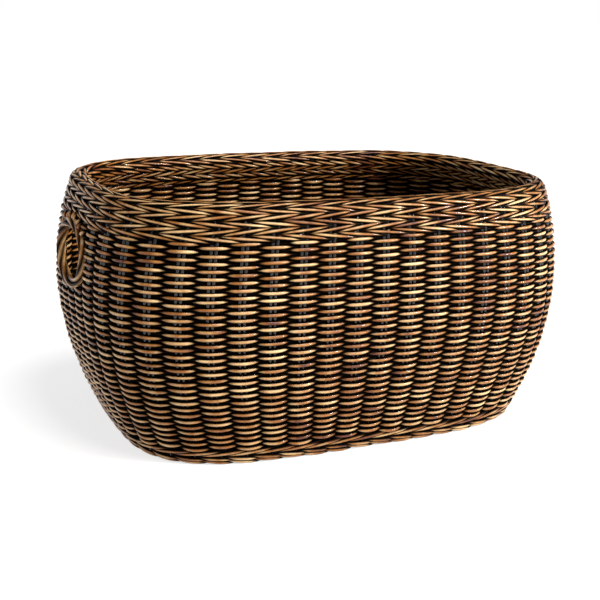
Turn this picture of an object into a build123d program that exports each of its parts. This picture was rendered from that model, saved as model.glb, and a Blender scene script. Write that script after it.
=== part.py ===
"""Wicker log basket: an oblong, bellied basket woven from round rods, with a hand hole in each end.

Everything is in millimetres. +X runs along the basket's length, +Y towards its back and +Z up. The
origin is the middle of the footprint, on the floor. The wall's outer face is a stack of rounded
oblongs, or superellipses, that swell from the foot to the belly and draw in again to the rim.
Each woven band is a closed solid between the wall's outer and inner faces. The stakes run inside
the bands, gripped by them, as the rods of a real basket grip its stakes.
"""

import os
from math import cos, pi, sin, sqrt

from build123d import *

# Overall sizes
HEIGHT = 345.0
FOOT_HALF_LENGTH = 293.0
FOOT_HALF_WIDTH = 203.0
BELLY_HALF_LENGTH = 352.0
BELLY_HALF_WIDTH = 243.0
BELLY_HEIGHT = 207.0
RIM_HALF_LENGTH = 328.0
RIM_HALF_WIDTH = 227.0

# Shape of the outline and of the wall's profile
FOOT_SQUARENESS = 3.75  # superellipse exponent: 2 is an ellipse, and higher is squarer
RIM_SQUARENESS = 3.25
SWELL_POWER = 1.9  # how quickly the wall swells below the belly
SHOULDER_POWER = 2.15  # how late it draws in above the belly
OUTLINE_POINTS = 48

# Thicknesses and rods
WALL = 11.0  # two rods and a stake between them
ROW_PITCH = 4.65
STAKE_DIAMETER = 5.0
STAKE_GAP = 0.8  # between the two stakes of a pair
STAKE_PAIRS = 52

# Bands of the wall, from the floor up
FOOT_BORDER_HEIGHT = 14.0
FOOT_BORDER_PROUD = 2.0
FOOT_BORDER_THICKNESS = 15.0
UPSETT_HEIGHT = 9.0
LOWER_SIDING_TOP = 105.0  # above the floor, where a fresh set of rods starts the belly
CHAIN_WALE_HEIGHT = 9.0
CHAIN_WALES = 3
BORDER_HEIGHT = 19.0
RIM_THICKNESS = 26.0
RIM_HOOP_DIAMETER = 9.0
SIDING_LEVEL_STEP = 32.0  # greatest height between two outlines of a siding band

# Base
BASE_LIFT = 6.0  # underside of the base above the floor
BASE_THICKNESS = 12.0
BASE_ROD_DIAMETER = 7.0
BASE_ROD_SPACING = 36.0
BASE_ROD_END_GAP = 6.0  # from a base rod's end to the edge of the woven base

# Hand holes, one in the middle of each end
HOLE_TOP_GAP = 2.5  # from the wrapped ring up to the bands under the border
HOLE_HALF_WIDTH = 56.0  # clear opening
HOLE_HALF_HEIGHT = 32.0
WRAP_DIAMETER = 13.0
HOLE_HOOP_DIAMETER = 5.0
FIT_GAP = 0.3  # between the wrapped ring and the siding round it

BORDER_ROUND_DEGREES = 75.0  # how far each side of the border's round top turns
BORDER_ROUND_STEPS = 4
RIM_HOOP_TURNS = (-65, -30, 0, 30, 65)  # degrees round the hoop's section at which it is drawn
RING_EDGE_STEPS = 180  # places along a quarter of the ring at which its edge is measured
CUT_THROUGH = 2.0  # how far a cut runs past the face it opens

rim_round = RIM_THICKNESS / 2
band_bottom = HEIGHT - BORDER_HEIGHT - CHAIN_WALES * CHAIN_WALE_HEIGHT
siding_bottom = FOOT_BORDER_HEIGHT + UPSETT_HEIGHT
ring_half_width = HOLE_HALF_WIDTH + WRAP_DIAMETER
ring_half_height = HOLE_HALF_HEIGHT + WRAP_DIAMETER
hole_height = band_bottom - HOLE_TOP_GAP - ring_half_height
hole_band_bottom = hole_height - ring_half_height - ROW_PITCH


def wall_half_sizes(z):
    """Half length and half width of the wall's outer face at height z."""
    if z < BELLY_HEIGHT:
        swell = 1 - (1 - z / BELLY_HEIGHT) ** SWELL_POWER
        ends = (FOOT_HALF_LENGTH, FOOT_HALF_WIDTH)
    else:
        swell = 1 - ((z - BELLY_HEIGHT) / (HEIGHT - BELLY_HEIGHT)) ** SHOULDER_POWER
        ends = (RIM_HALF_LENGTH, RIM_HALF_WIDTH)
    return (
        ends[0] + (BELLY_HALF_LENGTH - ends[0]) * swell,
        ends[1] + (BELLY_HALF_WIDTH - ends[1]) * swell,
    )


def outline_point(angle, z, inset=0.0):
    """Point of the superellipse at height z, set in from the wall's outer face, at a polar angle."""
    half_length, half_width = wall_half_sizes(z)
    power = FOOT_SQUARENESS + (RIM_SQUARENESS - FOOT_SQUARENESS) * z / HEIGHT
    across = abs(cos(angle) / (half_length - inset)) ** power
    along = abs(sin(angle) / (half_width - inset)) ** power
    radius = (across + along) ** (-1 / power)
    return Vector(radius * cos(angle), radius * sin(angle), z)


def outline(z, inset=0.0, at=None):
    """Closed outline of the wall at height z, drawn at height `at` if that is given."""
    lift = Vector(0, 0, (z if at is None else at) - z)
    angles = [2 * pi * k / OUTLINE_POINTS for k in range(OUTLINE_POINTS)]
    return Wire([Spline(*[outline_point(a, z, inset) + lift for a in angles], periodic=True)])


def stack(sections):
    """Solid through outlines given as (height, inset) or (height, inset, drawn height)."""
    return Solid.make_loft([outline(*section) for section in sections], ruled=True)


def ring(levels, outer_inset, inner_inset):
    """Closed band of the wall between its faces, whose insets are functions of height."""
    outside = stack([(z, outer_inset(z)) for z in levels])
    low, high = levels[0], levels[-1]
    inner = [(low, inner_inset(low), low - CUT_THROUGH)]
    inner += [(z, inner_inset(z)) for z in levels]
    inner += [(high, inner_inset(high), high + CUT_THROUGH)]
    return outside - stack(inner)


def levels_between(low, high, step=SIDING_LEVEL_STEP):
    """Evenly spaced heights from low to high, no further apart than step."""
    count = int((high - low) / step) + 1
    return [low + (high - low) * k / count for k in range(count + 1)]


def flush(z):
    """Inset of the wall's outer face."""
    return 0.0


def inner_face(z):
    """Inset of the wall's inner face, which thickens from the siding to the border."""
    thickening = CHAIN_WALES * CHAIN_WALE_HEIGHT
    share = min(max((z - band_bottom) / thickening, 0.0), 1.0)
    return WALL + (RIM_THICKNESS - WALL) * share


def border_section(side):
    """Inset and height steps of the border's round top, side 0 for the outer face and 1 for the inner."""
    steps = []
    for k in range(BORDER_ROUND_STEPS + 1):
        turn = BORDER_ROUND_DEGREES / 180 * pi * k / BORDER_ROUND_STEPS
        top = BORDER_ROUND_DEGREES / 180 * pi
        in_by = rim_round * (1 - cos(turn))
        z = HEIGHT - rim_round + rim_round * sin(turn) / sin(top)
        steps.append((z, in_by if side == 0 else RIM_THICKNESS - in_by))
    return steps


def rolled_border():
    """Thick round-topped border that the stakes' ends are worked into."""
    bottom = HEIGHT - BORDER_HEIGHT
    outside = stack([(bottom, 0.0)] + border_section(0))
    inner = border_section(1)
    crest_inset = inner[-1][1]
    inside = [(bottom, RIM_THICKNESS, bottom - CUT_THROUGH), (bottom, RIM_THICKNESS)]
    inside += inner + [(HEIGHT, crest_inset, HEIGHT + CUT_THROUGH)]
    return outside - stack(inside)


def rim_hoop():
    """Round cane hoop buried in the border, which keeps the mouth in shape."""
    centre = HEIGHT - rim_round
    radius = RIM_HOOP_DIAMETER / 2
    levels = [centre + radius * sin(turn / 180 * pi) for turn in RIM_HOOP_TURNS]

    def outside(z):
        return rim_round - sqrt(radius**2 - (z - centre) ** 2)

    def inside(z):
        return rim_round + sqrt(radius**2 - (z - centre) ** 2)

    return ring(levels, outside, inside)


def foot_border():
    """Round-sided border that the basket stands on, a little proud of the siding."""
    middle = FOOT_BORDER_HEIGHT / 2
    edge = FOOT_BORDER_PROUD / 2

    def proud(z):
        return -FOOT_BORDER_PROUD if z == middle else -edge

    def inside(z):
        return FOOT_BORDER_THICKNESS - FOOT_BORDER_PROUD

    return ring([0.0, middle, FOOT_BORDER_HEIGHT], proud, inside)


def station_angles():
    """Polar angles of the stake pairs, evenly spaced along the wall at belly height from +X."""
    fine = 7200
    points = [outline_point(2 * pi * k / fine, BELLY_HEIGHT) for k in range(fine + 1)]
    length = [0.0]
    for a, b in zip(points, points[1:]):
        length.append(length[-1] + (b - a).length)
    angles = []
    k = 0
    for pair in range(STAKE_PAIRS):
        while length[k] < length[-1] * pair / STAKE_PAIRS:
            k += 1
        angles.append(2 * pi * k / fine)
    return angles


def wall_tangent(angle):
    """Horizontal direction along the wall at a polar angle."""
    small = 0.002
    step = outline_point(angle + small, BELLY_HEIGHT) - outline_point(angle - small, BELLY_HEIGHT)
    return step.normalized()


def profile_direction(angle, z, inset):
    """Direction of the wall's profile at height z, upwards."""
    small = 1.0
    rise = outline_point(angle, z + small, inset) - outline_point(angle, z - small, inset)
    return rise.normalized()


def stake_pair(angle, low, high):
    """Two stakes side by side in the middle of the wall, from height low to height high."""
    beside = wall_tangent(angle) * (STAKE_DIAMETER + STAKE_GAP) / 2
    inset = WALL / 2
    bend = min(max(BELLY_HEIGHT, low), high)
    upright = profile_direction(angle, bend, inset)
    stakes = []
    for shift in (beside, -beside):
        foot, middle, top = (outline_point(angle, z, inset) + shift for z in (low, bend, high))
        arcs = []
        if low < bend:
            arcs.append(TangentArc(middle, foot, tangent=-upright))
        if bend < high:
            arcs.append(TangentArc(middle, top, tangent=upright))
        path = Wire(arcs)
        profile = Plane(path @ 0, z_dir=path % 0) * Circle(STAKE_DIAMETER / 2)
        stakes.append(sweep(profile, path=path))
    return stakes


def side_of(angle):
    """Name of the basket's side that a stake pair stands in."""
    half_length, half_width = wall_half_sizes(BELLY_HEIGHT)
    point = outline_point(angle, BELLY_HEIGHT)
    if abs(point.Y) / half_width > abs(point.X) / half_length:
        return "front" if point.Y < 0 else "back"
    return "left" if point.X < 0 else "right"


def ring_edge(across):
    """How far above or below a hand hole's centre its ring reaches, at a distance across from it."""
    radius = WRAP_DIAMETER / 2
    edge = 0.0
    for k in range(RING_EDGE_STEPS + 1):
        turn = pi / 2 * k / RING_EDGE_STEPS
        aside = across - (HOLE_HALF_WIDTH + radius) * cos(turn)
        if abs(aside) < radius:
            edge = max(edge, (HOLE_HALF_HEIGHT + radius) * sin(turn) + sqrt(radius**2 - aside**2))
    return edge


def stakes():
    """All stake pairs, by node. Those that meet a hand hole stop short, below and above its ring."""
    nodes = {}
    foot = FOOT_BORDER_HEIGHT / 2
    top = HEIGHT - rim_round - RIM_HOOP_DIAMETER / 2 - FIT_GAP
    for angle in station_angles():
        side = side_of(angle)
        across = abs(outline_point(angle, hole_height).Y)
        if side in ("front", "back") or across > ring_half_width + STAKE_DIAMETER:
            nodes.setdefault(f"{side}_stakes", []).extend(stake_pair(angle, foot, top))
            continue
        drawn_in = abs(outline_point(angle, hole_height + ring_half_height, WALL / 2).Y)
        nearest = max(drawn_in - STAKE_DIAMETER - STAKE_GAP / 2, 0.0)
        reach = ring_edge(nearest) + FIT_GAP
        below = stake_pair(angle, foot, hole_height - reach)
        above = stake_pair(angle, hole_height + reach, top)
        nodes.setdefault(f"{side}_short_stakes_below_hole", []).extend(below)
        nodes.setdefault(f"{side}_short_stakes_above_hole", []).extend(above)
    return nodes


def hole_ring_plane(side):
    """Plane of a hand hole's ring, leaning with the wall. side is -1 for the left end, 1 for the right."""
    end = pi if side < 0 else 0.0
    centre = outline_point(end, hole_height, WALL / 2)
    along = profile_direction(end, hole_height, WALL / 2)
    return Plane(origin=centre, x_dir=(0, 1, 0), z_dir=Vector(0, 1, 0).cross(along))


def hole_ring(side, diameter):
    """Round-sectioned oval ring on the centre line of a hand hole's wrapped edge."""
    half_width = HOLE_HALF_WIDTH + WRAP_DIAMETER / 2
    half_height = HOLE_HALF_HEIGHT + WRAP_DIAMETER / 2
    path = hole_ring_plane(side) * Edge.make_ellipse(half_width, half_height)
    profile = Plane(path @ 0, z_dir=path % 0) * Circle(diameter / 2)
    return sweep(profile, path=path)


def hole_cutters():
    """Oval prisms that clear the siding for both hand holes' rings."""
    oval = Ellipse(ring_half_width + FIT_GAP, ring_half_height + FIT_GAP)
    prism = extrude(Plane.YZ * oval, amount=BELLY_HALF_LENGTH + WALL, both=True)
    return Pos(0, 0, hole_height) * prism


def hole_siding():
    """Front and back halves of the siding between the two hand holes."""
    band = ring(levels_between(hole_band_bottom, band_bottom), flush, inner_face) - hole_cutters()
    reach = 2 * BELLY_HALF_LENGTH + WALL
    half = Box(reach, reach, 2 * HEIGHT, align=(Align.CENTER, Align.MAX, Align.CENTER))
    return {"front_siding": band & half, "back_siding": band - half}


def base():
    """Woven base panel and the rods that run lengthwise through it."""
    edge = max(WALL, FOOT_BORDER_THICKNESS - FOOT_BORDER_PROUD) + FIT_GAP
    top = BASE_LIFT + BASE_THICKNESS
    panel = stack([(z, edge) for z in (BASE_LIFT, FOOT_BORDER_HEIGHT, top)])
    middle = BASE_LIFT + BASE_THICKNESS / 2
    half_length, half_width = (half - edge for half in wall_half_sizes(BASE_LIFT))
    rods = []
    count = int((half_width - BASE_ROD_END_GAP - BASE_ROD_DIAMETER) / BASE_ROD_SPACING)
    for k in range(-count, count + 1):
        y = k * BASE_ROD_SPACING
        share = (1 - abs(y / half_width) ** FOOT_SQUARENESS) ** (1 / FOOT_SQUARENESS)
        length = 2 * (half_length * share - BASE_ROD_END_GAP)
        rods.append(Pos(0, y, middle) * Rot(0, 90, 0) * Cylinder(BASE_ROD_DIAMETER / 2, length))
    return {"base_weave": panel, "base_rods": rods}


def model():
    """Every node of the basket, as a solid or a list of solids."""
    nodes = base()
    nodes["foot_border"] = foot_border()
    nodes["upsett_wale"] = ring([FOOT_BORDER_HEIGHT, siding_bottom], flush, inner_face)
    for name, low, high in (
        ("lower_siding", siding_bottom, LOWER_SIDING_TOP),
        ("belly_siding", LOWER_SIDING_TOP, hole_band_bottom),
    ):
        nodes[name] = ring(levels_between(low, high), flush, inner_face)
    nodes.update(hole_siding())
    for k in range(CHAIN_WALES):
        low = band_bottom + k * CHAIN_WALE_HEIGHT
        nodes[f"chain_wale_{k + 1}"] = ring([low, low + CHAIN_WALE_HEIGHT], flush, inner_face)
    nodes["rolled_border"] = rolled_border()
    nodes["rim_hoop"] = rim_hoop()
    nodes.update(stakes())
    for name, side in (("left", -1), ("right", 1)):
        nodes[f"{name}_hand_hole_wrap"] = hole_ring(side, WRAP_DIAMETER)
        nodes[f"{name}_hand_hole_hoop"] = hole_ring(side, HOLE_HOOP_DIAMETER)
    return nodes


def main():
    os.makedirs("parts", exist_ok=True)
    for name, shape in model().items():
        if isinstance(shape, list):
            shape = Compound(shape)
        export_step(shape, f"parts/{name}.step")


main()
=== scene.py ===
"""Wicker log basket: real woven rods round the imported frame, with a studio stage.

It is laid out as a Blender add-on and run as a script. Every rod is a tube that follows the wall's
surface, and everything is in metres in the frame's axes: +X along the basket, +Y to its back, +Z up.
"""
from math import cos, pi, radians, sin, sqrt

import bpy
import numpy as np
from bpy.props import FloatProperty, FloatVectorProperty, IntProperty, PointerProperty, StringProperty
from mathutils import Matrix, Vector


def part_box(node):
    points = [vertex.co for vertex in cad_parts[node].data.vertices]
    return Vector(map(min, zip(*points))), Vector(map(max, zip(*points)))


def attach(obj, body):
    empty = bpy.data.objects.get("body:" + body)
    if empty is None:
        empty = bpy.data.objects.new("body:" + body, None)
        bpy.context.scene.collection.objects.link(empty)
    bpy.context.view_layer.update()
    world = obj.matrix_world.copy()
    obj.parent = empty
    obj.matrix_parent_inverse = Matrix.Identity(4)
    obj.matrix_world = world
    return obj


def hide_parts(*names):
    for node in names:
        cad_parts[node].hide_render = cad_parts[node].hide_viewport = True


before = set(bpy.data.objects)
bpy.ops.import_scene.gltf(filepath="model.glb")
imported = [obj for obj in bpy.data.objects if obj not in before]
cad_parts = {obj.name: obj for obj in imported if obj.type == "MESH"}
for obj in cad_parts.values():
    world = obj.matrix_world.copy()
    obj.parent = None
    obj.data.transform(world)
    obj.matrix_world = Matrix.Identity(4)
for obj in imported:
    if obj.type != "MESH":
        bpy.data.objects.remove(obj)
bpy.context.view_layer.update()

bl_info = {
    "name": "Wicker Log Basket",
    "version": (1, 0, 0),
    "blender": (4, 5, 0),
    "location": "3D Viewport > Sidebar > Basket",
    "description": "Weaves a rattan log basket round its frame and sets up a studio for it",
    "category": "Add Mesh",
}

MM = 0.001
BODY = "root"
SIDES = 8  # facets round a rod
STEPS = 10  # lengths of tube from one stake pair to the next
SHADE_BACKING = 0.5 * MM  # half thickness of the dark strand inside a row, a sheet painted near black for the shade between the packed rods
PAINTED_SHADE_GAIN = 2.0  # how soon a rod that comes out of the weave is clear of the painted shade
PAINTED_EDGE_SHADE = (1.2, 0.7)  # painted shade along a rod's lower and upper sides
INSIDE_SHADE_LIFT = ((0.19, 0.225), (0.3, 1.0))  # heights, and how much of the painted shade on the rods' inner faces is lifted there, so that the inside is painted darker low down
END_SHADE = 0.16  # stake pairs over which painted shade deepens at a row's end, under the ring of a hand hole


# ---------------------------------------------------------------- sizes and colours


class BasketSizes(bpy.types.PropertyGroup):
    """Sizes of the rods and of the weave."""

    rod: FloatProperty(
        name="Rod", description="Diameter of a weaving rod", default=5.2 * MM, unit="LENGTH")
    stake: FloatProperty(
        name="Stake", description="Diameter of a stake", default=5.0 * MM, unit="LENGTH")
    stake_spacing: FloatProperty(
        name="Stake spacing", description="Between the two stakes of a pair", default=5.8 * MM,
        unit="LENGTH")
    row_pitch: FloatProperty(
        name="Row pitch", description="From one row of the siding to the next, along the wall",
        default=4.65 * MM, unit="LENGTH")
    wall: FloatProperty(
        name="Wall", description="Thickness of the woven wall", default=11.0 * MM, unit="LENGTH")
    relief: FloatProperty(
        name="Relief", description="How far a rod swings in and out of the wall's middle",
        default=4.3 * MM, unit="LENGTH")
    rim: FloatProperty(
        name="Rim", description="Thickness of the rolled border", default=26.0 * MM, unit="LENGTH")
    pairs: IntProperty(name="Stake pairs", description="Stake pairs round the wall", default=52)
    foot_squareness: FloatProperty(
        name="Foot squareness", description="Superellipse power of the outline at the foot",
        default=3.75)
    rim_squareness: FloatProperty(
        name="Rim squareness", description="Superellipse power of the outline at the rim",
        default=3.25)
    swell_power: FloatProperty(
        name="Swell", description="How quickly the wall swells below the belly", default=1.9)
    shoulder_power: FloatProperty(
        name="Shoulder", description="How late the wall draws in above the belly", default=2.15)
    belly_height: FloatProperty(
        name="Belly height", description="Height of the widest outline", default=207.0 * MM,
        unit="LENGTH")


class BasketColours(bpy.types.PropertyGroup):
    """Colours of the stained rattan, as sRGB hex."""

    honey: StringProperty(
        name="Honey", description="Where the stain is thinnest", default="#E2BE88")
    tan: StringProperty(name="Tan", description="Most of the rods", default="#9B632A")
    russet: StringProperty(name="Russet", description="Rods that took the stain", default="#5A2A12")
    # painted shade: the near-black colour that the rods are mixed towards where they lie between others
    shade_umber: StringProperty(
        name="Umber", description="Stain pooled where rods cross", default="#080402")
    # painted shade: the stakes and inner rods are painted near black for the shade between the rows
    stakes: StringProperty(name="Stakes", description="Stakes and inner rods", default="#0E0704")
    floor: StringProperty(name="Floor", description="Studio floor", default="#A0A0A0")


def sizes():
    return bpy.context.scene.basket_sizes


def colours():
    return bpy.context.scene.basket_colours


def linear(code):
    """Linear RGBA of an sRGB hex colour."""
    parts = [int(code[k:k + 2], 16) / 255 for k in (1, 3, 5)]
    return [p / 12.92 if p <= 0.04045 else ((p + 0.055) / 1.055) ** 2.4 for p in parts] + [1.0]


# ---------------------------------------------------------------- the wall as a surface


class Wall:
    """The wall's surface, with the frame's sizes. Angles are polar, and insets go inwards."""

    def __init__(self):
        s = sizes()
        self.inner = s.wall
        self.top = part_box("rolled_border")[1].z
        self.belly = s.belly_height
        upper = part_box("front_siding")[1]
        self.belly_half = (upper.x, -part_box("front_siding")[0].y)
        self.powers = (s.foot_squareness, s.rim_squareness)
        self.swells = (s.swell_power, s.shoulder_power)
        foot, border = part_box("upsett_wale")[1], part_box("rolled_border")
        self.foot_half = self.end_half((foot.x, foot.y), foot.z)
        self.rim_half = self.end_half((border[1].x, border[1].y), border[0].z)
        self.angles = self.station_angles(s.pairs)

    def swell(self, z):
        """Share of the way from the foot, or from the rim, to the belly."""
        low = 1 - (1 - np.clip(z / self.belly, 0, 1)) ** self.swells[0]
        high = 1 - np.clip((z - self.belly) / (self.top - self.belly), 0, 1) ** self.swells[1]
        return np.where(z < self.belly, low, high)

    def end_half(self, half, z):
        """Half sizes at the wall's foot or top, from those at height z."""
        share = float(self.swell(np.array(z)))
        return tuple((h - b * share) / (1 - share) for h, b in zip(half, self.belly_half))

    def half(self, z):
        """Half length and half width of the outer face at height z."""
        share, low = self.swell(z), z < self.belly
        return [
            np.where(low, f, r) * (1 - share) + b * share
            for f, r, b in zip(self.foot_half, self.rim_half, self.belly_half)
        ]

    def point(self, angle, z, inset=0.0):
        """Points of the wall, an array of rows x, y, z."""
        z = np.broadcast_to(z, np.shape(angle)).astype(float)
        a, b = self.half(z)
        power = self.powers[0] + (self.powers[1] - self.powers[0]) * z / self.top
        along = np.abs(np.cos(angle) / (a - inset)) ** power
        across = np.abs(np.sin(angle) / (b - inset)) ** power
        radius = (along + across) ** (-1 / power)
        return np.stack([radius * np.cos(angle), radius * np.sin(angle), z], -1)

    def frame(self, angle, z, inset=0.0):
        """Directions outwards and up the wall at its points."""
        small = 1e-3
        side = self.point(angle + small, z, inset) - self.point(angle - small, z, inset)
        rise = self.point(angle, z + small, inset) - self.point(angle, z - small, inset)
        out = unit(np.cross(side, rise))
        return out, unit(np.cross(out, side))

    def station_angles(self, pairs, fine=7200):
        """Polar angles of the stake pairs, evenly spaced along the belly from +X, and one more."""
        angle = np.linspace(0, 2 * pi, fine + 1)
        step = np.diff(self.point(angle, self.belly), axis=0)
        length = np.concatenate([[0], np.cumsum(np.linalg.norm(step, axis=1))])
        return np.interp(np.linspace(0, length[-1], pairs + 1), length, angle)

    def angle(self, station):
        """Polar angle of a place counted in stake pairs, which may be past a full turn."""
        pairs = len(self.angles) - 1
        turns = np.floor(station / pairs)
        return turns * 2 * pi + np.interp(station - turns * pairs, np.arange(pairs + 1), self.angles)


def unit(vectors):
    return vectors / np.linalg.norm(vectors, axis=-1, keepdims=True)


def wave_through(values, phase):
    """Smooth closed curve through evenly spaced values, at phases from 0 to 1 (Catmull-Rom)."""
    values = np.asarray(values, float)
    count = len(values)
    place = (phase % 1.0) * count
    k = np.floor(place).astype(int)
    t = place - k
    p = [values[(k + shift) % count] for shift in (-1, 0, 1, 2)]
    return 0.5 * (2 * p[1] + (p[2] - p[0]) * t + (2 * p[0] - 5 * p[1] + 4 * p[2] - p[3]) * t**2
                  + (3 * p[1] - p[0] - 3 * p[2] + p[3]) * t**3)


# ---------------------------------------------------------------- rods as tubes


class Rods:
    """Collects tubes, and makes one mesh piece of them.

    Each point carries a tone, which is a place in the stain's noise, so that each rod and each
    stroke takes its own colour, and a painted shade, which is 0 on the outside of the weave and 1
    where the rod lies between others: there the colour is painted near black for the shade between
    rods."""

    def __init__(self, seed):
        self.points, self.loops, self.counts = [], [], []
        self.along, self.tone, self.tuck = [], [], []
        self.total = 0
        self.random = np.random.default_rng(seed)

    def add(self, path, out, radius, closed=False, tuck=0.0, sides=SIDES, tall=None, seams=(0, 0),
            lift=None):
        """Tube along path. out is a direction off the path, and tall the radius across it.

        The edge shade is how much shade is painted along the rod's lower and upper sides, and the
        painted shade, per point, is 0 out in the light and 1 or more where shade falls between rods.
        lift, if given, is how far the rod stands out of the weave, from 1 to -1: the side that faces
        out is cleared of the painted shade and the side that faces in is shaded more."""
        count = len(path)
        if closed:
            ahead = np.roll(path, -1, 0) - np.roll(path, 1, 0)
        else:
            ahead = np.gradient(path, axis=0)
        ahead = unit(ahead)
        first = unit(out - ahead * np.sum(out * ahead, -1, keepdims=True))
        second = np.cross(ahead, first)
        turn = np.linspace(0, 2 * pi, sides, endpoint=False)
        radius = np.broadcast_to(radius, count)[:, None, None]
        tall = radius if tall is None else tall
        points = path[:, None] + radius * np.cos(turn)[None, :, None] * first[:, None]
        points += tall * np.sin(turn)[None, :, None] * second[:, None]
        rows = count if closed else count - 1
        i = np.arange(rows)[:, None]
        j = np.arange(sides)[None]
        nxt, side = (i + 1) % count, (j + 1) % sides
        quads = np.stack([i * sides + j, i * sides + side, nxt * sides + side, nxt * sides + j], -1)
        self.loops.append(quads.reshape(-1) + self.total)
        self.counts.append(np.full(rows * sides, 4))
        if not closed:
            ends = [np.arange(sides)[::-1], (count - 1) * sides + np.arange(sides)]
            self.loops.append(np.concatenate(ends) + self.total)
            self.counts.append(np.full(2, sides))
        step = np.linalg.norm(np.diff(path, axis=0), axis=1)
        length = np.concatenate([[0], np.cumsum(step)])
        self.points.append(points.reshape(-1, 3))
        self.along.append(np.repeat(length, sides))
        self.tone.append(np.full(count * sides, self.random.uniform(0, 100)))
        # painted shade along the rod's lower side, where light falls least, and some along its upper
        # side
        below = np.where(second[:, 2] > 0, -1.0, 1.0)[:, None] * np.sin(turn)[None]
        edge_shade = seams[0] * np.clip(below, 0, 1) + seams[1] * np.clip(-below, 0, 1) ** 1.5
        # painted shade at each point: cleared on the side that faces out of the weave, deepened on the
        # side that faces in
        shade_here = np.broadcast_to(tuck, count)[:, None]
        if lift is not None:
            shade_here = np.clip(shade_here - PAINTED_SHADE_GAIN * lift[:, None] * np.cos(turn)[None], 0, 1)
        self.tuck.append((shade_here + edge_shade).ravel())
        self.total += count * sides

    def piece(self, name, material, slot, *nodes):
        """Mesh object of the tubes, riding on the basket and standing for CAD nodes."""
        mesh = bpy.data.meshes.new(name)
        loops, counts = np.concatenate(self.loops), np.concatenate(self.counts)
        mesh.vertices.add(self.total)
        mesh.vertices.foreach_set("co", np.concatenate(self.points).ravel().astype(np.float32))
        mesh.loops.add(len(loops))
        mesh.loops.foreach_set("vertex_index", loops.astype(np.int32))
        mesh.polygons.add(len(counts))
        starts = np.concatenate([[0], np.cumsum(counts)[:-1]])
        mesh.polygons.foreach_set("loop_start", starts.astype(np.int32))
        mesh.polygons.foreach_set("loop_total", counts.astype(np.int32))
        mesh.update(calc_edges=True)
        mesh.polygons.foreach_set("use_smooth", np.ones(len(counts), bool))
        for kind in ("along", "tone", "tuck"):
            values = np.concatenate(getattr(self, kind)).astype(np.float32)
            mesh.attributes.new(kind, "FLOAT", "POINT").data.foreach_set("value", values)
        if mesh.validate():
            raise RuntimeError(f"{name} has faces that aren't sound")
        piece = bpy.data.objects.new(name, mesh)
        bpy.context.scene.collection.objects.link(piece)
        mesh.materials.append(material)
        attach(piece, BODY)
        if nodes:
            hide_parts(*nodes)
        return piece


# ---------------------------------------------------------------- materials


def node(tree, kind, links=(), **settings):
    """Adds a node: settings are its properties or, as numbers or colours, its sockets' values."""
    made = tree.nodes.new(kind)
    for name, value in settings.items():
        if hasattr(made, name):
            setattr(made, name, value)
        else:
            made.inputs[name.replace("_", " ")].default_value = value
    for socket, source in links:
        tree.links.new(source, made.inputs[socket])
    return made


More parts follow.
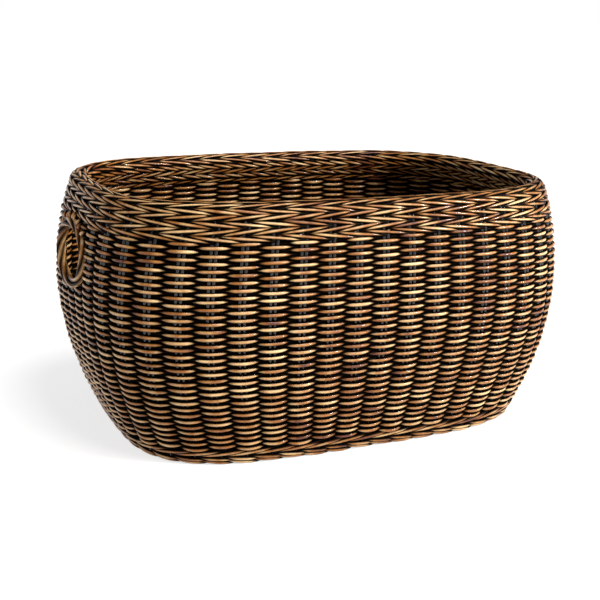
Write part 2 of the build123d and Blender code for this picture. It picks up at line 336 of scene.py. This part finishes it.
def stained_rattan(name, low, middle, high, dark, roughness, coat, polish, sheen):
    """Peeled rattan core, stained and lacquered.

    The rods drink the stain unevenly, so the eye sees honey, tan and russet strokes side by side,
    with edges and crossings painted near black for the shade between the rods, under a thin gloss
    that glints on every bend. low, middle and high are the stain's colours from thick to thin, and
    dark is the colour of the painted shade. coat and sheen are how strong the lacquer's and the
    rod's own gloss are away from the painted shade."""
    material = bpy.data.materials.get(name)
    if material:
        return material
    material = bpy.data.materials.new(name)
    material.use_nodes = True
    tree = material.node_tree
    tree.nodes.clear()
    along = node(tree, "ShaderNodeAttribute", attribute_name="along").outputs["Fac"]
    tone = node(tree, "ShaderNodeAttribute", attribute_name="tone").outputs["Fac"]
    tuck = node(tree, "ShaderNodeAttribute", attribute_name="tuck").outputs["Fac"]
    place = node(tree, "ShaderNodeCombineXYZ", [("X", along), ("Y", tone)]).outputs[0]
    # the stain changes along each stroke, in blotches, and from one lot of rods to the next
    stroke_length, blotch_length, lot_length = 62.5 * MM, 11.765 * MM, 142.86 * MM
    wide = node(tree, "ShaderNodeTexNoise", [("Vector", place)], Scale=1 / stroke_length, Detail=2.0)
    where = node(tree, "ShaderNodeTexCoord").outputs["Object"]
    blotch = node(tree, "ShaderNodeTexNoise", [("Vector", where)], Scale=1 / blotch_length, Detail=3.0)
    batch = node(tree, "ShaderNodeTexNoise", [("Vector", where)], Scale=1 / lot_length, Detail=1.0)
    stroke_share, blotch_share, lot_share = 0.56, 0.22, 0.22
    lots = node(tree, "ShaderNodeMath", [(0, batch.outputs[0])], operation="MULTIPLY")
    lots.inputs[1].default_value = lot_share
    mixed = node(tree, "ShaderNodeMath", [(0, wide.outputs[0]), (2, lots.outputs[0])],
                 operation="MULTIPLY_ADD")
    mixed.inputs[1].default_value = stroke_share
    share = node(tree, "ShaderNodeMath", [(0, blotch.outputs[0]), (2, mixed.outputs[0])],
                 operation="MULTIPLY_ADD")
    share.inputs[1].default_value = blotch_share
    ramp = node(tree, "ShaderNodeValToRGB", [("Fac", share.outputs[0])])
    stops = ramp.color_ramp.elements
    stops[0].position, stops[0].color = 0.37, linear(low)
    stops[1].position, stops[1].color = 0.64, linear(high)
    stops.new(0.475).color = linear(middle)
    # painted shade: the stain's colours are mixed towards the near-black shade colour by the painted
    # shade at each point
    darkened = node(tree, "ShaderNodeMath", [(0, tuck)], operation="POWER", use_clamp=True)
    darkened.inputs[1].default_value = 1.2
    stain = node(tree, "ShaderNodeMix", [("Factor", darkened.outputs[0])], data_type="RGBA")
    tree.links.new(ramp.outputs[0], stain.inputs[6])
    stain.inputs[7].default_value = linear(dark)
    # fine grain: real vessels are about 0.3 mm wide, and are drawn coarser so that they show
    grain_width = 1.1111 * MM
    grain = node(tree, "ShaderNodeTexNoise", [("Vector", where)], Scale=1 / grain_width, Detail=2.0)
    bump = node(tree, "ShaderNodeBump", [("Height", grain.outputs[0])], Strength=0.25, Distance=0.0004)
    # lacquer is rubbed off in the crevices, so the gloss fades where the shade is painted in
    gloss = node(tree, "ShaderNodeMapRange", [("Value", tuck)], From_Min=0.1, From_Max=0.8)
    gloss.inputs["To Min"].default_value, gloss.inputs["To Max"].default_value = coat, 0.0
    shine = node(tree, "ShaderNodeMapRange", [("Value", tuck)], From_Min=0.1, From_Max=0.8)
    shine.inputs["To Min"].default_value, shine.inputs["To Max"].default_value = sheen, 0.02
    shader = node(
        tree, "ShaderNodeBsdfPrincipled",
        [("Base Color", stain.outputs[2]), ("Normal", bump.outputs[0]),
         ("Coat Weight", gloss.outputs[0]), ("Specular IOR Level", shine.outputs[0])],
        Roughness=roughness, IOR=1.5, Coat_Roughness=polish, Coat_IOR=1.5)
    node(tree, "ShaderNodeOutputMaterial", [("Surface", shader.outputs[0])])
    return material


def woven_material():
    c = colours()
    return stained_rattan(
        "peeled_rattan_stained_shade_painted_lacquered", c.russet, c.tan, c.honey, c.shade_umber,
        roughness=0.38, coat=0.5, polish=0.12, sheen=0.25)


def stake_material():
    """The same core, painted almost black for the shade deep in the weave, and left glossy."""
    c = colours()
    return stained_rattan(
        "peeled_rattan_shade_painted_lacquered", c.shade_umber, c.stakes, c.stakes, c.shade_umber,
        roughness=0.2, coat=0.8, polish=0.1, sheen=0.2)


# ---------------------------------------------------------------- weaving


def plain_row(rods, wall, z, start, stop, odd):
    """One rod woven in front of one stake pair and behind the next, from station start to stop."""
    s = sizes()
    closed = stop - start == s.pairs
    count = int(round((stop - start) * STEPS))
    station = start + (stop - start) * np.arange(count + (not closed)) / count
    wave = np.cos(pi * (station + odd))
    swing = 1.15 * wave - 0.15 * wave**3  # a little fuller than a cosine, as a stiff rod bends
    angle = wall.angle(station)
    middle = wall.point(angle, z, s.wall / 2)
    out, _ = wall.frame(angle, z)
    path = middle + out * (swing * s.relief * (1 + wander(rods, station, 0.12)))[:, None]
    path[:, 2] += wander(rods, station, 0.4 * MM)
    thick = s.rod / 2 * rods.random.uniform(0.93, 1.05) * (1 + wander(rods, station, 0.06))
    tuck = np.ones(len(station))
    # painted shadow deepening towards a row's ends, where the row runs under the ring of a hand hole
    if not closed:
        to_end = np.minimum(station - start, stop - station)
        tuck += 2.5 * np.exp(-to_end / END_SHADE)
    # painted shade: low down inside the basket, less of it is cleared from the rod's inner face
    rods.add(path, out, thick * (0.8 + 0.2 * np.abs(swing)), closed,
             tuck=tuck, seams=PAINTED_EDGE_SHADE, lift=np.where(swing < 0, swing * inside_shade_lift(z), swing))
    shade_backing(rods, middle[::3], out[::3], s.row_pitch, closed)


def inside_shade_lift(z):
    """Share of the painted shade lifted from the rods' inner faces at height z: less low down inside
    the basket, so the inside is painted darker there, where shade falls.
    """
    return float(np.interp(z, INSIDE_SHADE_LIFT[0], INSIDE_SHADE_LIFT[1]))


def wander(rods, station, reach):
    """Slow unevenness along a row, which comes round to where it began."""
    turn = 2 * pi * station / sizes().pairs
    waves = rods.random.integers(4, 19, 3)
    shift = rods.random.uniform(0, 2 * pi, 3)
    return reach * sum(np.sin(w * turn + p) for w, p in zip(waves, shift)) / 2


def shade_backing(rods, middle, out, pitch, closed=True):
    """Flat strand in the middle of a row, painted near black: a dark sheet put where the shade falls
    between the rods' packed inner sides.
    """
    rods.add(middle, out, SHADE_BACKING, closed, tuck=1.0, sides=4, tall=0.75 * pitch)


def rope_row(rods, section, period, strands, lean, height, relief, radius, twins=0.0):
    """One row of rods that lie over some stakes and dive behind the next, like a flat rope.

    section gives, for stations, the middle of the row, the direction outwards and the one up the
    row. A rod comes out at one edge of the row and goes in at the other, so its strokes slant."""
    pairs = sizes().pairs
    laps = 1 if pairs % period == 0 else period
    each = [k * period / strands for k in range(strands if laps == 1 else 1)]
    edge = height / 2
    for shift in each:
        for twin in ((-1, 1) if twins else (0,)):
            count = int(laps * pairs * STEPS)
            station = laps * pairs * np.arange(count) / count
            phase = (station - shift) / period
            # four sixths of the way outside, climbing, and then behind the wall and back down
            swing = wave_through([0.0, 0.82, 1.0, 0.82, 0.0, -1.0], phase)
            climb = wave_through([-1.0, -0.5, 0.0, 0.5, 1.0, 0.0], phase)
            middle, out, up = section(station)
            relief_here = relief * (1 + wander(rods, station, 0.12))
            path = middle + out * (swing * relief_here)[:, None]
            rise = climb * edge * lean + twin * twins + wander(rods, station, 0.5 * MM)
            path = path + up * rise[:, None]
            thick = radius * (1 + wander(rods, station, 0.08))
            path[:, 2] = np.maximum(path[:, 2], thick)
            rods.add(path, out, thick, True, tuck=1.65, seams=PAINTED_EDGE_SHADE, lift=swing)
    middle, out, _ = section(np.arange(pairs * 4) / 4.0)
    set_back = 1.5 * MM
    shade_backing(rods, middle - out * set_back, out, height)


def on_wall(wall, z, inset):
    """Section of a rope row that stands on the wall at height z."""
    def section(station):
        angle = wall.angle(station)
        out, up = wall.frame(angle, z)
        return wall.point(angle, z, inset), out, up
    return section


def inside_wall(wall, z, inset):
    """Section of a rope row on the wall's inner face: outwards is towards the basket's middle."""
    def section(station):
        middle, out, up = on_wall(wall, z, inset)(station)
        return middle, -out, up
    return section


def over_rim(wall, turn, reach):
    """Section of a rope row on the border's round top, turn degrees over from the outer face."""
    roll = sizes().rim / 2
    a = radians(turn)
    z = wall.top - roll + reach * sin(a)

    def section(station):
        angle = wall.angle(station)
        out, _ = wall.frame(angle, wall.top - roll)
        flat = unit(out * [1, 1, 0])
        rise = np.broadcast_to([0.0, 0.0, 1.0], flat.shape)
        middle = wall.point(angle, wall.top - roll, roll - reach * cos(a))
        middle[:, 2] = z
        return middle, flat * cos(a) + rise * sin(a), rise * cos(a) - flat * sin(a)
    return section


def hole(side):
    """Centre and half sizes of a hand hole's wrapped ring, from the frame. side is left or right."""
    low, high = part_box(f"{side}_hand_hole_hoop")
    centre = (low + high) / 2
    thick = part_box(f"{side}_hand_hole_wrap")[1].y - high.y
    return centre, (high.y - low.y) / 2, (high.z - low.z) / 2, thick


def hole_edge(wall, z, cover=0.0):
    """How many stations from the middle of an end the siding stops at height z."""
    centre, half_width, half_height, thick = hole("right")
    share = (z - centre.z) / (half_height + thick)
    if abs(share) >= 1:
        return 0.0
    y = (half_width + thick - cover) * sqrt(1 - share**2)
    station = np.linspace(0, 4, 401)
    across = wall.point(wall.angle(station), z, sizes().wall / 2)[:, 1]
    return float(np.interp(y, across, station))


def row_heights(wall, low, high):
    """Heights of the siding's rows, evenly spaced along the wall's profile."""
    z = np.linspace(low, high, 400)
    a, b = wall.half(z)
    slope = np.gradient((a + b) / 2, z)
    length = np.concatenate([[0], np.cumsum(np.hypot(1, (slope[1:] + slope[:-1]) / 2) * np.diff(z))])
    count = int(round(length[-1] / sizes().row_pitch))
    return np.interp((np.arange(count) + 0.5) / count * length[-1], length, z)


# ---------------------------------------------------------------- operators


class BasketPart:
    """What the basket's operators share."""

    bl_options = {"REGISTER", "UNDO"}

    def execute(self, context):
        self.build(Wall())
        return {"FINISHED"}


class BASKET_OT_siding(BasketPart, bpy.types.Operator):
    """Weave the siding, row by row, from the foot to the rim"""

    bl_idname = "basket.siding"
    bl_label = "Siding"

    def build(self, wall):
        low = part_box("lower_siding")[0].z
        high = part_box("front_siding")[1].z
        rows = row_heights(wall, low, high)
        cut = [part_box(name)[0].z for name in ("belly_siding", "front_siding")]
        zones = [
            ("lower_siding", [k for k, z in enumerate(rows) if z < cut[0]]),
            ("belly_siding", [k for k, z in enumerate(rows) if cut[0] <= z < cut[1]]),
            ("front_siding", [k for k, z in enumerate(rows) if z >= cut[1]]),
            ("back_siding", [k for k, z in enumerate(rows) if z >= cut[1]]),
        ]
        pairs = sizes().pairs
        for zone, (name, picked) in enumerate(zones):
            for part, chosen in enumerate(np.array_split(picked, 2)):
                rods = Rods(zone * 10 + part)
                for k in chosen:
                    z = float(rows[k])
                    start, stop = 0.0, float(pairs)
                    if name in ("front_siding", "back_siding"):
                        gap = hole_edge(wall, z, cover=3 * MM)
                        half = pairs / 2
                        start = gap + (half if name == "front_siding" else 0)
                        stop = start + half - 2 * gap
                    plain_row(rods, wall, z, start, stop, int(k) % 2)
                label = f"{name}_rods_{'ab'[part]}"
                rods.piece(label, woven_material(), "woven_rattan", name)


class BASKET_OT_stakes(BasketPart, bpy.types.Operator):
    """Stand the stake pairs in the wall"""

    bl_idname = "basket.stakes"
    bl_label = "Stakes"

    def build(self, wall):
        s = sizes()
        groups = {}
        centre, half_width, half_height, thick = hole("right")
        foot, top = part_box("front_stakes")[0].z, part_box("front_stakes")[1].z
        for k in range(s.pairs):
            angle = float(wall.angle(np.array(float(k))))
            x, y, _ = wall.point(np.array(angle), centre.z)
            spans = [(foot, top)]
            inside = 1 - (abs(y) / (half_width + thick)) ** 2
            if inside > 0:
                reach = (half_height + thick) * sqrt(inside)
                spans = [(foot, centre.z - reach), (centre.z + reach, top)]
            a, b = wall.belly_half
            side = ("front" if y < 0 else "back") if abs(y) / b > abs(x) / a else (
                "left" if x < 0 else "right")
            rods = groups.setdefault(side, Rods(100 + len(groups)))
            for low, high in spans:
                z = np.linspace(low, high, max(int((high - low) / (8 * MM)), 4))
                line = wall.point(np.full(len(z), angle), z, s.wall / 2)
                out, _ = wall.frame(np.full(len(z), angle), z, s.wall / 2)
                flat = np.cross(out, [0.0, 0.0, 1.0])
                for shift in (-0.5, 0.5):
                    beside = unit(flat) * s.stake_spacing * shift
                    rods.add(line + beside, out, s.stake / 2, tuck=0.0)
        for side, rods in groups.items():
            nodes = [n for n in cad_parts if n.startswith(f"{side}_") and "stakes" in n]
            rods.piece(f"{side}_stake_rods", stake_material(), "stake_rattan", *nodes)


class BASKET_OT_rim(BasketPart, bpy.types.Operator):
    """Work the herringbone rows under the rim and the border over it"""

    bl_idname = "basket.rim"
    bl_label = "Rim"

    def build(self, wall):
        s = sizes()
        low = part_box("chain_wale_1")[0].z
        straight_top = wall.top - s.rim / 2
        rows, rolls = 4, 5
        pitch = (straight_top - low) / rows
        radius, relief, inset = s.rod / 2 * 0.88, 3.6 * MM, 5.2 * MM
        lean = -1
        outer = [low + (k + 0.5) * pitch for k in range(rows)]
        nodes = ["chain_wale_1", "chain_wale_2", "chain_wale_3", "rolled_border"]
        for k, z in enumerate(outer):
            rods = Rods(200 + k)
            rope_row(rods, on_wall(wall, z, inset), 3, 3, lean, pitch, relief, radius)
            rods.piece(f"herringbone_row_{k + 1}", woven_material(), "woven_rattan", nodes[k])
            lean = -lean
        for k in range(rolls):
            turn = 180 * (k + 0.5) / rolls
            rods = Rods(210 + k)
            reach = s.rim / 2 - 5.0 * MM
            rope_row(rods, over_rim(wall, turn, reach), 3, 3, lean, pitch * 0.92, relief, radius)
            rods.piece(f"border_row_{k + 1}", woven_material(), "woven_rattan", "rolled_border")
            lean = -lean
        for k, z in enumerate(reversed(outer)):
            rods = Rods(220 + k)
            thick = s.wall + (s.rim - s.wall) * min((z - low) / (straight_top - low) * 1.2, 1.0)
            rope_row(rods, inside_wall(wall, z, thick - inset), 2, 3, lean, pitch, relief, radius)
            rods.piece(f"inner_herringbone_row_{k + 1}", woven_material(), "woven_rattan",
                       "rolled_border")
            lean = -lean
        core = Rods(230)
        angle = wall.angle(s.pairs * np.arange(s.pairs * 4) / (s.pairs * 4.0))
        # the hoop, and three thinner ones under it where the band narrows
        for drop, thick in ((0, 12.5), (9, 9.0), (18, 7.0), (26, 5.0)):
            z = straight_top - drop * MM
            line = wall.point(angle, z, s.rim / 2)
            out, _ = wall.frame(angle, z)
            core.add(line, out, thick / 2 * MM, True, tuck=1.0, sides=12)
        core.piece("rim_hoop_rods", stake_material(), "cane", "rim_hoop")


class BASKET_OT_foot(BasketPart, bpy.types.Operator):
    """Work the foot border and the row where the stakes turn up"""

    bl_idname = "basket.foot"
    bl_label = "Foot"

    def build(self, wall):
        s = sizes()
        low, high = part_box("foot_border")
        rods = Rods(300)
        radius = s.rod / 2 * 0.92
        z, inset = (low.z + high.z) / 2 + 0.3 * MM, 4.5 * MM
        height, relief = 4.0 * MM, 3.6 * MM
        rope_row(rods, on_wall(wall, z, inset), 2, 2, -1, height, relief, radius, twins=radius * 0.95)
        rods.piece("foot_border_rods", woven_material(), "woven_rattan", "foot_border")
        rods = Rods(301)
        low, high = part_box("upsett_wale")
        z, inset = (low.z + high.z) / 2, 4.6 * MM
        height, relief = 8.0 * MM, 3.4 * MM
        rope_row(rods, on_wall(wall, z, inset), 3, 3, 1, height, relief, s.rod / 2)
        rods.piece("upsett_wale_rods", woven_material(), "woven_rattan", "upsett_wale")


class BASKET_OT_hand_holes(BasketPart, bpy.types.Operator):
    """Wrap the ring of each hand hole, and lash it to the band above"""

    bl_idname = "basket.hand_holes"
    bl_label = "Hand holes"

    def build(self, wall):
        for seed, side in enumerate(("left", "right")):
            rods = Rods(400 + seed)
            self.wrap(rods, wall, side)
            self.lash(rods, wall, side)
            rods.piece(f"{side}_hand_hole_wrapping", woven_material(), "woven_rattan",
                       f"{side}_hand_hole_wrap")
            self.hoop(wall, side)

    def oval(self, wall, side, proud, shrink):
        """Middle, half sizes and directions of an oval round a hand hole.

        proud is how far it stands out from the middle of the wall, and shrink how much smaller it
        is than the outside of the hoop. The directions are across, up and out of the wall."""
        centre, half_width, half_height, _ = hole(side)
        end = pi if side == "left" else 0.0
        out, up = (way[0] for way in wall.frame(np.array([end]), np.array([centre.z])))
        half = (half_width - shrink, half_height - shrink)
        return np.array(centre) + out * proud, half, (np.array([0.0, 1.0, 0.0]), up, out)

    def ring(self, middle, half, ways, turn):
        """Points round an oval."""
        across, up, _ = ways
        return (middle + across * (half[0] * np.cos(turn))[:, None]
                + up * (half[1] * np.sin(turn))[:, None])

    def wrap(self, rods, wall, side):
        """Strands laid round the hoop, side by side and slowly turning."""
        strands, twists, count = 4, 2, 240
        width, depth = 5.0 * MM, 3.4 * MM
        middle, half, ways = self.oval(wall, side, 2.6 * MM, 1.5 * MM)
        across, up, out = ways
        turn = np.linspace(0, 2 * pi, count, endpoint=False)
        line = self.ring(middle, half, ways, turn)
        away = unit(across * (np.cos(turn) / half[0])[:, None] + up * (np.sin(turn) / half[1])[:, None])
        for k in range(strands):
            spin = 2 * pi * k / strands + twists * turn
            off = away * (width * np.cos(spin))[:, None] + out * (depth * np.sin(spin))[:, None]
            rods.add(line + off, unit(off), sizes().rod / 2 * 1.2, True, tuck=2.2, lift=np.ones(count))

    def lash(self, rods, wall, side):
        """Short lashings that fan up from the ring's top into the band."""
        lashings, spread, count, clear = 9, 0.19, 9, 3 * MM
        middle, half, (across, up, out) = self.oval(wall, side, 2.6 * MM, 1.5 * MM)
        share = np.linspace(0, 1, count)[:, None]
        for k in range(lashings):
            place = pi / 2 + (k - lashings // 2) * spread
            foot = (middle + across * (half[0] + clear) * cos(place)
                    + up * (half[1] + clear) * sin(place))
            fan = unit(across * cos(place) * 1.4 + up * sin(place))
            slip = across * rods.random.uniform(3, 6) * (MM if k % 2 else -MM)
            path = foot + fan * rods.random.uniform(12, 15) * MM * share + slip * share
            path = path + out * (3.2 * np.sin(share * pi) - 1.0) * MM
            taper = 1.1 * np.sin(np.linspace(0.4, 2.8, count))
            rods.add(path, np.broadcast_to(out, path.shape), sizes().rod / 2 * taper, tuck=1.6,
                     lift=np.sin(np.linspace(0, pi, count)))

    def hoop(self, wall, side):
        """The plain hoop inside the wrapping."""
        radius = 3.0 * MM
        middle, half, ways = self.oval(wall, side, 2.0 * MM, radius)
        line = self.ring(middle, half, ways, np.linspace(0, 2 * pi, 160, endpoint=False))
        rods = Rods(410)
        rods.add(line, np.broadcast_to(ways[2], line.shape), radius, True, tuck=0.2, sides=12)
        rods.piece(f"{side}_hand_hole_hoop_rod", stake_material(), "cane", f"{side}_hand_hole_hoop")


class BASKET_OT_base(BasketPart, bpy.types.Operator):
    """Weave the base across its lengthwise rods"""

    bl_idname = "basket.base"
    bl_label = "Base"

    def build(self, wall):
        s = sizes()
        low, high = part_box("base_weave")
        middle = (low.z + high.z) / 2
        half = (high.x, high.y)
        power = s.foot_squareness
        spacing, stick, clear = 36 * MM, 3.5 * MM, 6 * MM
        count = int(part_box("base_rods")[1].y / spacing)
        rods = Rods(500)
        for k in range(-count, count + 1):
            y = k * spacing
            reach = half[0] * (1 - abs(y / half[1]) ** power) ** (1 / power) - clear
            x = np.linspace(-reach, reach, 24)
            path = np.stack([x, np.full_like(x, y), np.full_like(x, middle)], -1)
            rods.add(path, np.broadcast_to([0.0, 0.0, 1.0], path.shape), stick, tuck=0.0)
        rods.piece("base_rod_sticks", stake_material(), "cane", "base_rods")
        rods = Rods(501)
        pitch, relief = 5.2 * MM, 4.6 * MM
        columns = int((half[0] - 4 * MM) / pitch)
        for k in range(-columns, columns + 1):
            x = k * pitch
            reach = half[1] * (1 - abs(x / half[0]) ** power) ** (1 / power)
            if reach < spacing / 2:
                continue
            y = np.linspace(-reach, reach, int(reach * 2 / spacing * 8) + 2)
            swing = np.cos(pi * (y / spacing + k))
            path = np.stack([np.full_like(y, x), y, middle + relief * swing], -1)
            upward = np.broadcast_to([0.0, 0.0, 1.0], path.shape)
            rods.add(path, upward, s.rod / 2, tuck=1.0, seams=(0.7, 0.7), lift=swing)
            straight = path[[0, -1]] * [1, 1, 0] + [0, 0, middle]
            shade_backing(rods, straight, upward[:2], pitch, closed=False)
        # two rope rows close the gap between the base and the foot
        for inset in (14 * MM, 19 * MM):
            rope_row(rods, on_wall(wall, middle, inset), 2, 2, 1, 5 * MM, 2.5 * MM, s.rod / 2)
        rods.piece("base_weave_rods", woven_material(), "woven_rattan", "base_weave")


class BASKET_OT_stage(bpy.types.Operator):
    """Lay the pale floor, hang the soft lights and set the camera"""

    bl_idname = "basket.stage"
    bl_label = "Stage"

    def execute(self, context):
        scene = context.scene
        scene.view_settings.view_transform = "Standard"
        mesh = bpy.data.meshes.new("floor")
        reach = 60.0
        corners = [(-reach, -reach, 0), (reach, -reach, 0), (reach, reach, 0), (-reach, reach, 0)]
        mesh.from_pydata(corners, [], [(0, 1, 2, 3)])
        floor = bpy.data.objects.new("floor", mesh)
        scene.collection.objects.link(floor)
        mesh.materials.append(self.floor_material())
        self.set_world(scene)
        sun = bpy.data.lights.new("top_light", "SUN")
        sun.energy, sun.angle, sun.color = 3.7, radians(32), (1.0, 0.98, 0.95)
        self.hang(scene, sun, (0.36, -0.6, 1.35))
        for name, place, size, power, colour in (
            ("key_light", (1.9, -1.95, 1.4), 0.4, 97.0, (1.0, 0.96, 0.9)),
            ("right_light", (2.6, -1.2, 0.8), 0.3, 16.0, (1.0, 1.0, 1.0)),
            ("left_light", (-2.0, 0.6, 1.5), 0.4, 5.0, (0.9, 0.95, 1.0)),
        ):
            light = bpy.data.lights.new(name, "AREA")
            light.size, light.energy, light.color = size, power, colour
            self.hang(scene, light, place)
        self.set_camera(scene)
        return {"FINISHED"}

    def floor_material(self):
        """Opal acrylic sheet, sanded matt and lit from below.

        It stays near white in the shade, so the eye sees only a faint shadow round the foot."""
        opal = bpy.data.materials.new("backlit_opal_acrylic")
        opal.use_nodes = True
        shader = opal.node_tree.nodes["Principled BSDF"]
        shader.inputs["Base Color"].default_value = linear(colours().floor)
        shader.inputs["Roughness"].default_value = 0.9
        shader.inputs["Specular IOR Level"].default_value = 0.2
        shader.inputs["Emission Color"].default_value = (1.0, 1.0, 1.0, 1.0)
        shader.inputs["Emission Strength"].default_value = 0.74
        return opal

    def hang(self, scene, light, place):
        """Puts a light at a place, aimed at the basket."""
        lamp = bpy.data.objects.new(light.name, light)
        lamp.location = place
        aim = Vector((0, 0, 0.15)) - lamp.location
        lamp.rotation_euler = aim.to_track_quat("-Z", "Y").to_euler()
        scene.collection.objects.link(lamp)

    def set_world(self, scene):
        """A white studio that is bright at the horizon and dim above."""
        world = scene.world or bpy.data.worlds.new("studio")
        scene.world = world
        world.use_nodes = True
        tree = world.node_tree
        tree.nodes.clear()
        where = node(tree, "ShaderNodeTexCoord").outputs["Generated"]
        height = node(tree, "ShaderNodeSeparateXYZ", [("Vector", where)]).outputs["Z"]
        ramp = node(tree, "ShaderNodeValToRGB", [("Fac", height)])
        stops = ramp.color_ramp.elements
        stops[0].position, stops[0].color = 0.06, (1.0, 1.0, 1.0, 1.0)
        stops[1].position, stops[1].color = 0.3, (0.2, 0.2, 0.21, 1.0)
        sky = node(tree, "ShaderNodeBackground", [("Color", ramp.outputs[0])], Strength=1.0)
        node(tree, "ShaderNodeOutputWorld", [("Surface", sky.outputs[0])])

    def set_camera(self, scene):
        """A long lens, a little above the rim and to the left, rolled slightly."""
        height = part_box("rolled_border")[1].z
        azimuth, elevation, distance, roll = -0.434, 0.264, 4.6695 * height, -0.028
        sensor, lens = 36.0, 1.803 * 36.0
        target = Vector((-0.020, 0.020, 0.445)) * height
        back = Vector((sin(azimuth) * cos(elevation), -cos(azimuth) * cos(elevation), sin(elevation)))
        data = bpy.data.cameras.new("camera")
        data.sensor_width = sensor
        data.lens = lens
        camera = bpy.data.objects.new("camera", data)
        turn = (-back).to_track_quat("-Z", "Y").to_matrix() @ Matrix.Rotation(-roll, 3, "Z")
        camera.matrix_world = Matrix.Translation(target + back * distance) @ turn.to_4x4()
        scene.collection.objects.link(camera)
        scene.camera = camera


class BASKET_PT_panel(bpy.types.Panel):
    """Sidebar panel with the basket's sizes, colours and pieces"""

    bl_idname = "BASKET_PT_panel"
    bl_label = "Basket"
    bl_space_type = "VIEW_3D"
    bl_region_type = "UI"
    bl_category = "Basket"

    def draw(self, context):
        for group in (context.scene.basket_sizes, context.scene.basket_colours):
            for name in group.bl_rna.properties.keys():
                if name not in ("rna_type", "name"):
                    self.layout.prop(group, name)
        for operator in OPERATORS:
            self.layout.operator(operator.bl_idname)


OPERATORS = (
    BASKET_OT_siding,
    BASKET_OT_stakes,
    BASKET_OT_rim,
    BASKET_OT_foot,
    BASKET_OT_hand_holes,
    BASKET_OT_base,
    BASKET_OT_stage,
)
CLASSES = (BasketSizes, BasketColours, *OPERATORS, BASKET_PT_panel)


def register():
    for cls in CLASSES:
        bpy.utils.register_class(cls)
    bpy.types.Scene.basket_sizes = PointerProperty(type=BasketSizes)
    bpy.types.Scene.basket_colours = PointerProperty(type=BasketColours)


def unregister():
    del bpy.types.Scene.basket_colours
    del bpy.types.Scene.basket_sizes
    for cls in reversed(CLASSES):
        bpy.utils.unregister_class(cls)


def main():
    register()
    for operator in OPERATORS:
        group, name = operator.bl_idname.split(".")
        getattr(getattr(bpy.ops, group), name)()


if __name__ == "__main__":
    main()
